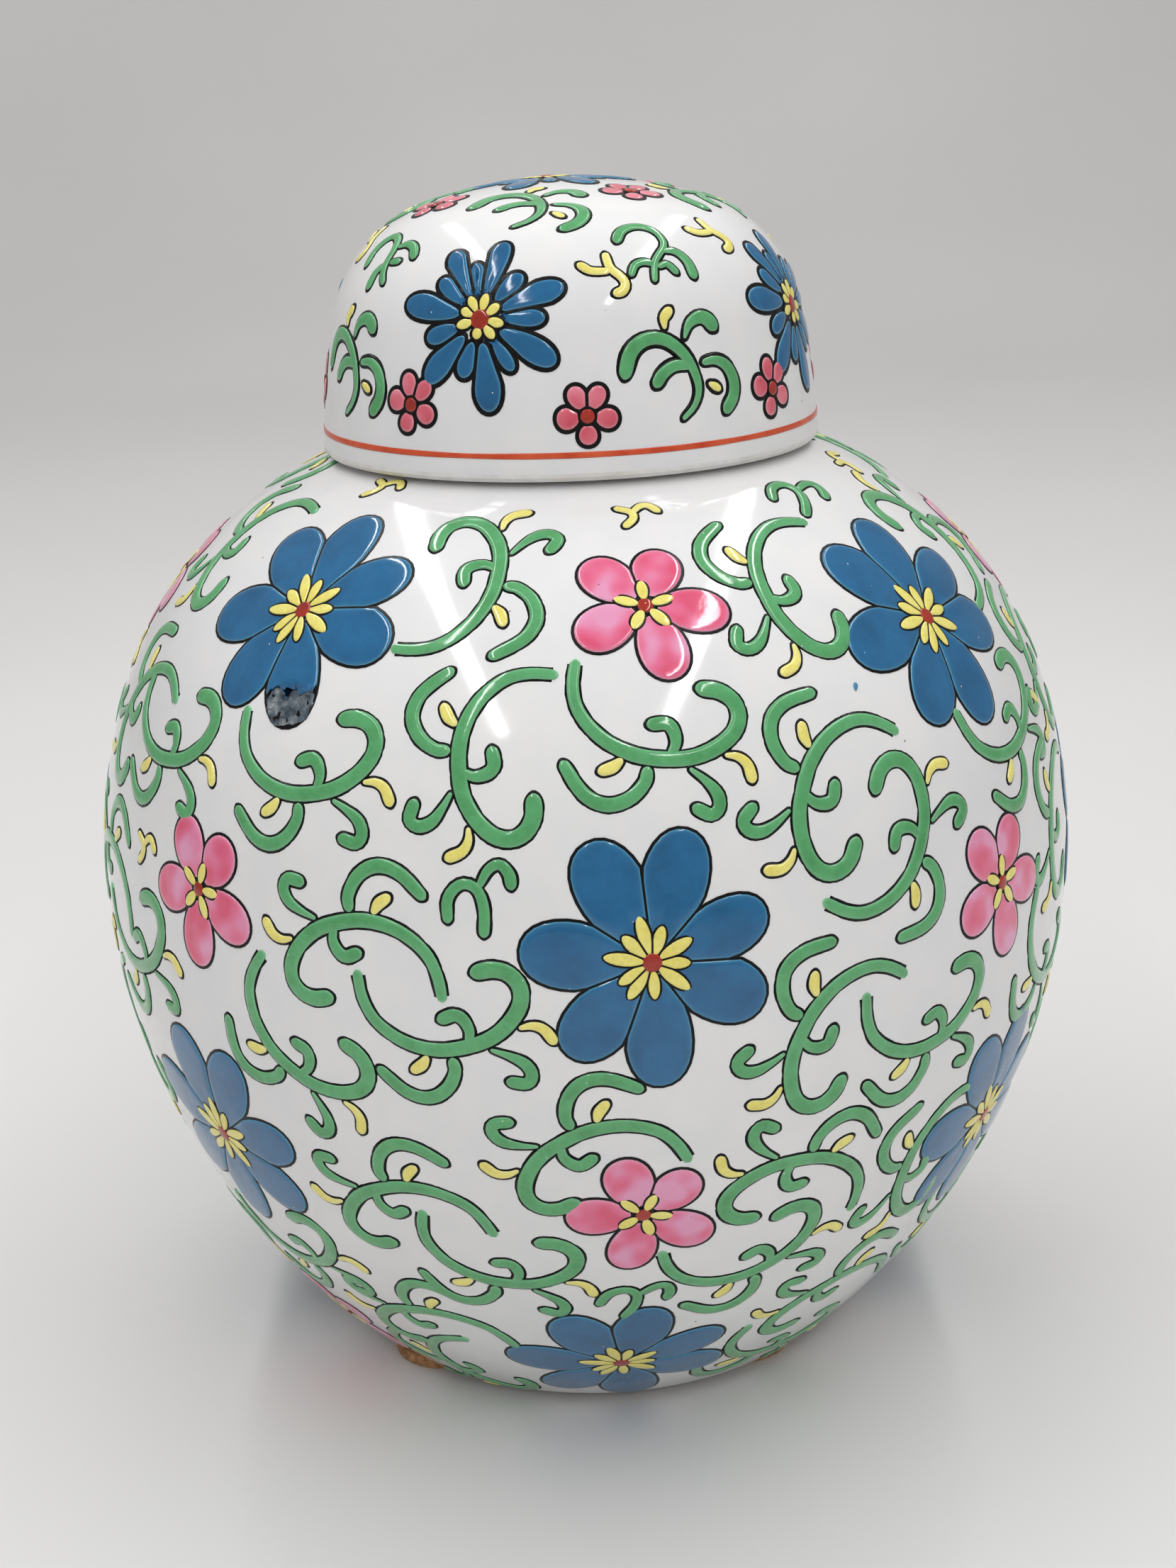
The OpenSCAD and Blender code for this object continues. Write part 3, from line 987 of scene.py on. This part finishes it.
def decorate(pattern):
    """Lays every flower, scroll, sprig and squiggle on the jar and the cap."""
    layers = [("jar_front", "jar", 0, JAR_ROWS), ("jar_back", "jar", 180, JAR_ROWS),
              ("cap", "cap", 0, CAP_ROWS)]
    for prefix, body, around, rows in layers:
        for kind, kind_name, places, slot in rows:
            for i, (azimuth, height, turn) in enumerate(places):
                name = f"{prefix}_{kind_name}_{i + 1}"
                flat = pattern["chipped_blue" if name == CHIPPED else kind]
                lay(flat, name, body, azimuth + around, height, turn)
    lay(pattern["speck"], "jar_stray_speck", "jar", 33.5, 155.5, 0)
    lay(pattern["cap_blue"], "cap_crown_flower", "cap", 0, CAP_TOP, -31, (-3, 3))


# ------------------------------------------------------------------ the band and the pads
BAND_Z = 194.0
BAND_W = 1.15
BAND_LIFT = 0.07
BAND_WAVER = 0.22      # how much its width varies

PAD_EDGE = 0.35 * MM   # bevel round a pad's edges
PAD_INSET = 1.6 * MM
CRUMB = 0.5 * MM       # how deep the crumbs are that have gone from a pad's edge


def make_band(material):
    """The thin painted line round the cap, a little uneven in width as a hand-held brush leaves it."""
    select_only(None)
    bpy.ops.mesh.primitive_torus_add(major_radius=CAP_RIM_R, minor_radius=BAND_W / 2,
                                     major_segments=LATHE_STEPS, minor_segments=10)
    band = bpy.context.object
    band.name = band.data.name = "cap_band"
    for v in band.data.vertices:
        azimuth = degrees(atan2(v.co.x, -v.co.y))
        out = hypot(v.co.x, v.co.y) - CAP_RIM_R
        waver = 1 + BAND_WAVER * noise.noise(Vector((v.co.x, v.co.y, 0)) * 0.08)
        point, _, _ = glaze_at("cap", azimuth, BAND_Z + v.co.z * waver)
        lift = -SUNK if out < -0.01 else BAND_LIFT * min(1, 3 * out / BAND_W)
        v.co = onto_glaze("cap", point, lift) * MM
    bpy.ops.object.shade_smooth()
    band.data.materials.append(material)
    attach(band, "cap")
    return band


def make_pad(node_name, material):
    """A cork disc with softened, crumbly edges, standing for the plain one."""
    low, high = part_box(node_name)
    middle, size = (low + high) / 2, high - low
    select_only(None)
    bpy.ops.mesh.primitive_cylinder_add(vertices=96, radius=size.x / 2, depth=size.z,
                                        location=middle, end_fill_type="NGON")
    pad = bpy.context.object
    pad.name = pad.data.name = "cork_" + node_name
    bpy.ops.object.transform_apply(location=True)
    edit(pad)
    bpy.ops.mesh.bevel(offset=PAD_EDGE, segments=2, affect="EDGES")
    pick(pad, "polygons", lambda face: abs(face.normal.z) > 0.9 and face.area > 100 * MM * MM)
    for _ in range(3):
        bpy.ops.mesh.inset(thickness=PAD_INSET)
    bpy.ops.mesh.poke()
    pick(pad, "polygons", lambda face: abs(face.normal.z) < 0.3)
    bpy.ops.mesh.subdivide(number_cuts=3)
    done()
    for v in pad.data.vertices:
        away = Vector((v.co.x - middle.x, v.co.y - middle.y, 0))
        if away.length > size.x * 0.45:
            crumb = noise.noise(v.co / (1.3 * MM)) + 0.5 * noise.noise(v.co / (0.6 * MM))
            v.co -= away.normalized() * max(0, crumb) * CRUMB
    bpy.ops.object.shade_smooth_by_angle(angle=radians(30))
    pad.data.materials.append(material)
    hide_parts(node_name)
    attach(pad, "jar")
    return pad


# ------------------------------------------------------------------ all together
add_camera()
light_studio()
add_backdrop(floor_paper())

paints = {
    "blue": enamel("blue_enamel", (0.009, 0.095, 0.225), (0.013, 0.135, 0.305), (0.12, 0.40, 0.58),
                   patch_mm=9),
    "pink": pink_enamel("pink_enamel", (0.80, 0.33, 0.52), (0.80, 0.17, 0.31), (0.74, 0.09, 0.19),
                        (0.84, 0.45, 0.60)),
    "salmon": pink_enamel("salmon_enamel", (0.78, 0.22, 0.29), (0.70, 0.13, 0.18), (0.62, 0.08, 0.12),
                          (0.82, 0.36, 0.42)),
    "green": enamel("green_enamel", (0.072, 0.31, 0.105), (0.105, 0.40, 0.155), (0.27, 0.62, 0.35)),
    "yellow": enamel("yellow_enamel", (0.80, 0.68, 0.13), (0.88, 0.80, 0.22), (0.92, 0.88, 0.46)),
    "red": enamel("red_enamel", (0.24, 0.014, 0.006), (0.40, 0.028, 0.012), (0.50, 0.09, 0.05)),
    "black": black_outline(),
    "chipped": chipped_ceramic(),
}
porcelain, biscuit = glazed_porcelain(), bare_biscuit()
make_jar(porcelain, biscuit)
make_cap(porcelain, biscuit)
for pad_name in ("pad_front_left", "pad_front_right", "pad_back_right", "pad_back_left"):
    make_pad(pad_name, cork())
make_band(orange_band())
patterns = make_patterns(paints)
decorate(patterns)
for flat_pattern in patterns.values():
    bpy.data.objects.remove(flat_pattern)
select_only(None)
